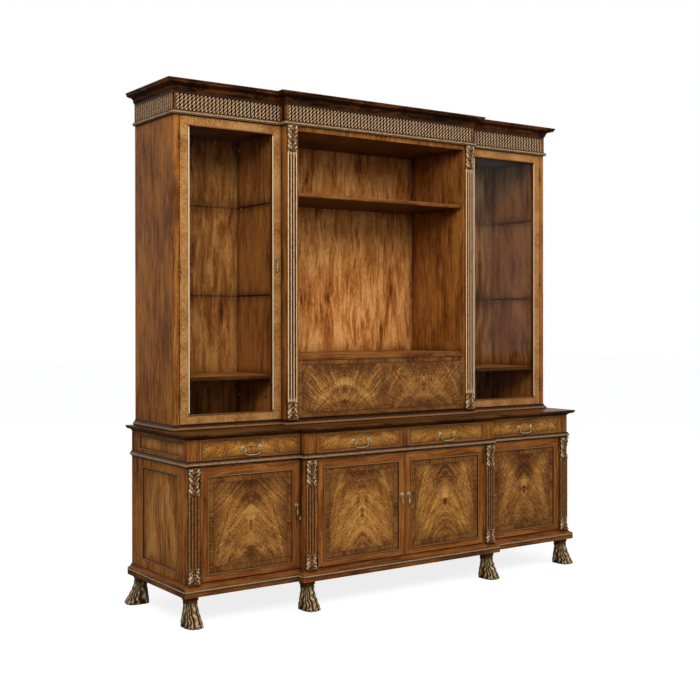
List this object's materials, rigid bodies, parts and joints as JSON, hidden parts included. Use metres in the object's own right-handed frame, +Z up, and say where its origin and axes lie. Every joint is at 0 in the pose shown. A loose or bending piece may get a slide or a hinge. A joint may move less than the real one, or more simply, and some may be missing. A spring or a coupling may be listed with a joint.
{
  "type": "breakfront tv cabinet",
  "caption": "Breakfront cabinet on paw feet: cupboards and drawers below, glazed wings, an open bay over a falling flap, fluted pilasters and a moulded crown.",
  "frame": {"origin": "bottom centre of the whole cabinet's box, on the floor", "axes": "+X to the right along the front, +Y to the rear, +Z up; the doors face -Y"},
  "size_m": [2.4668, 0.683, 2.46],
  "materials": {
    "walnut": "polished walnut, warm mid brown, straight grain",
    "dark_walnut": "polished walnut with a dark glaze",
    "carved_walnut": "carved walnut, dark glaze in the hollows and rubbed pale ridges",
    "drawer_lining": "plain pale wood, satin",
    "crotch_veneer": "polished feather-figured veneer with a pale plume",
    "crossband_veneer": "polished lighter crossbanded veneer",
    "antique_brass": "aged brass, satin",
    "clear_glass": "clear polished glass"
  },
  "bodies": {
    "cabinet": {"base_case_left": "walnut", "base_case_centre": "walnut", "base_case_right": "walnut", "tabletop": "walnut", "upper_case_left": "walnut", "upper_case_centre": "walnut", "upper_case_right": "walnut", "display_shelf": "walnut", "plinth": "dark_walnut", "crown": "dark_walnut", "rope_moulding": "carved_walnut", "upper_base_moulding": "carved_walnut", "frieze": "carved_walnut", "cupboard_shelf_left": "drawer_lining", "cupboard_shelf_centre": "drawer_lining", "cupboard_shelf_right": "drawer_lining", "foot_corner_left": "carved_walnut", "foot_break_left": "carved_walnut", "foot_rear_left": "carved_walnut", "foot_rear_middle_left": "carved_walnut", "base_pilaster_corner_left": "carved_walnut", "base_pilaster_break_left": "carved_walnut", "upper_pilaster_left": "carved_walnut", "glass_shelf_lower_left": "clear_glass", "glass_shelf_upper_left": "clear_glass", "foot_corner_right": "carved_walnut", "foot_break_right": "carved_walnut", "foot_rear_right": "carved_walnut", "foot_rear_middle_right": "carved_walnut", "base_pilaster_corner_right": "carved_walnut", "base_pilaster_break_right": "carved_walnut", "upper_pilaster_right": "carved_walnut", "glass_shelf_lower_right": "clear_glass", "glass_shelf_upper_right": "clear_glass"},
    "drawer_left": {"drawer_left": "crotch_veneer"},
    "drawer_bail_left": {"drawer_bail_left": "antique_brass"},
    "base_door_left": {"base_door_left": "crotch_veneer"},
    "base_pull_left": {"base_pull_left": "antique_brass"},
    "key_left": {"key_left": "antique_brass"},
    "drawer_centre_left": {"drawer_centre_left": "crotch_veneer"},
    "drawer_bail_centre_left": {"drawer_bail_centre_left": "antique_brass"},
    "base_door_centre_left": {"base_door_centre_left": "crotch_veneer"},
    "base_pull_centre_left": {"base_pull_centre_left": "antique_brass"},
    "glazed_door_left": {"glazed_door_left": "crossband_veneer", "glass_pane_left": "clear_glass"},
    "glazed_pull_left": {"glazed_pull_left": "antique_brass"},
    "drawer_right": {"drawer_right": "crotch_veneer"},
    "drawer_bail_right": {"drawer_bail_right": "antique_brass"},
    "base_door_right": {"base_door_right": "crotch_veneer"},
    "base_pull_right": {"base_pull_right": "antique_brass"},
    "key_right": {"key_right": "antique_brass"},
    "drawer_centre_right": {"drawer_centre_right": "crotch_veneer"},
    "drawer_bail_centre_right": {"drawer_bail_centre_right": "antique_brass"},
    "base_door_centre_right": {"base_door_centre_right": "crotch_veneer"},
    "base_pull_centre_right": {"base_pull_centre_right": "antique_brass"},
    "key_centre_right": {"key_centre_right": "antique_brass"},
    "glazed_door_right": {"glazed_door_right": "crossband_veneer", "glass_pane_right": "clear_glass"},
    "glazed_pull_right": {"glazed_pull_right": "antique_brass"},
    "fall_flap": {"fall_flap": "crossband_veneer"}
  },
  "joints": [
    {"name": "drawer_left_slide", "type": "slide", "parent": "cabinet", "child": "drawer_left", "axis": [0, -1, 0], "range_m": [0, 0.36]},
    {"name": "drawer_bail_left_lift", "type": "hinge", "parent": "drawer_left", "child": "drawer_bail_left", "pos_m": [-0.85745, -0.258, 0.78], "axis": [-1, 0, 0], "range_deg": [0, 90]},
    {"name": "base_door_left_hinge", "type": "hinge", "parent": "cabinet", "child": "base_door_left", "pos_m": [-1.1194, -0.251, 0.448], "axis": [0, 0, -1], "range_deg": [0, 90]},
    {"name": "base_pull_left_lift", "type": "hinge", "parent": "base_door_left", "child": "base_pull_left", "pos_m": [-0.6125, -0.258, 0.494], "axis": [-1, 0, 0], "range_deg": [0, 90]},
    {"name": "key_left_turn", "type": "hinge", "parent": "base_door_left", "child": "key_left", "pos_m": [-0.6125, -0.248, 0.4355], "axis": [0, -1, 0], "range_deg": [0, 90]},
    {"name": "drawer_centre_left_slide", "type": "slide", "parent": "cabinet", "child": "drawer_centre_left", "axis": [0, -1, 0], "range_m": [0, 0.36]},
    {"name": "drawer_bail_centre_left_lift", "type": "hinge", "parent": "drawer_centre_left", "child": "drawer_bail_centre_left", "pos_m": [-0.27175, -0.3015, 0.78], "axis": [-1, 0, 0], "range_deg": [0, 90]},
    {"name": "base_door_centre_left_hinge", "type": "hinge", "parent": "cabinet", "child": "base_door_centre_left", "pos_m": [-0.5225, -0.2945, 0.448], "axis": [0, 0, -1], "range_deg": [0, 90]},
    {"name": "base_pull_centre_left_lift", "type": "hinge", "parent": "base_door_centre_left", "child": "base_pull_centre_left", "pos_m": [-0.0215, -0.3015, 0.494], "axis": [-1, 0, 0], "range_deg": [0, 90]},
    {"name": "glazed_door_left_hinge", "type": "hinge", "parent": "cabinet", "child": "glazed_door_left", "pos_m": [-1.1372, -0.0845, 1.594], "axis": [0, 0, -1], "range_deg": [0, 110]},
    {"name": "glazed_pull_left_lift", "type": "hinge", "parent": "glazed_door_left", "child": "glazed_pull_left", "pos_m": [-0.622, -0.0915, 1.659], "axis": [-1, 0, 0], "range_deg": [0, 90]},
    {"name": "drawer_right_slide", "type": "slide", "parent": "cabinet", "child": "drawer_right", "axis": [0, -1, 0], "range_m": [0, 0.36]},
    {"name": "drawer_bail_right_lift", "type": "hinge", "parent": "drawer_right", "child": "drawer_bail_right", "pos_m": [0.85745, -0.258, 0.78], "axis": [-1, 0, 0], "range_deg": [0, 90]},
    {"name": "base_door_right_hinge", "type": "hinge", "parent": "cabinet", "child": "base_door_right", "pos_m": [1.1194, -0.251, 0.448], "axis": [0, 0, 1], "range_deg": [0, 90]},
    {"name": "base_pull_right_lift", "type": "hinge", "parent": "base_door_right", "child": "base_pull_right", "pos_m": [0.6125, -0.258, 0.494], "axis": [-1, 0, 0], "range_deg": [0, 90]},
    {"name": "key_right_turn", "type": "hinge", "parent": "base_door_right", "child": "key_right", "pos_m": [0.6125, -0.248, 0.4355], "axis": [0, -1, 0], "range_deg": [0, 90]},
    {"name": "drawer_centre_right_slide", "type": "slide", "parent": "cabinet", "child": "drawer_centre_right", "axis": [0, -1, 0], "range_m": [0, 0.36]},
    {"name": "drawer_bail_centre_right_lift", "type": "hinge", "parent": "drawer_centre_right", "child": "drawer_bail_centre_right", "pos_m": [0.27175, -0.3015, 0.78], "axis": [-1, 0, 0], "range_deg": [0, 90]},
    {"name": "base_door_centre_right_hinge", "type": "hinge", "parent": "cabinet", "child": "base_door_centre_right", "pos_m": [0.5225, -0.2945, 0.448], "axis": [0, 0, 1], "range_deg": [0, 90]},
    {"name": "base_pull_centre_right_lift", "type": "hinge", "parent": "base_door_centre_right", "child": "base_pull_centre_right", "pos_m": [0.0215, -0.3015, 0.494], "axis": [-1, 0, 0], "range_deg": [0, 90]},
    {"name": "key_centre_right_turn", "type": "hinge", "parent": "base_door_centre_right", "child": "key_centre_right", "pos_m": [0.0215, -0.2915, 0.4355], "axis": [0, -1, 0], "range_deg": [0, 90]},
    {"name": "glazed_door_right_hinge", "type": "hinge", "parent": "cabinet", "child": "glazed_door_right", "pos_m": [1.1372, -0.0845, 1.594], "axis": [0, 0, 1], "range_deg": [0, 110]},
    {"name": "glazed_pull_right_lift", "type": "hinge", "parent": "glazed_door_right", "child": "glazed_pull_right", "pos_m": [0.622, -0.0915, 1.659], "axis": [-1, 0, 0], "range_deg": [0, 90]},
    {"name": "fall_flap_hinge", "type": "hinge", "parent": "cabinet", "child": "fall_flap", "pos_m": [0, -0.1165, 0.894], "axis": [1, 0, 0], "range_deg": [0, 90]}
  ]
}
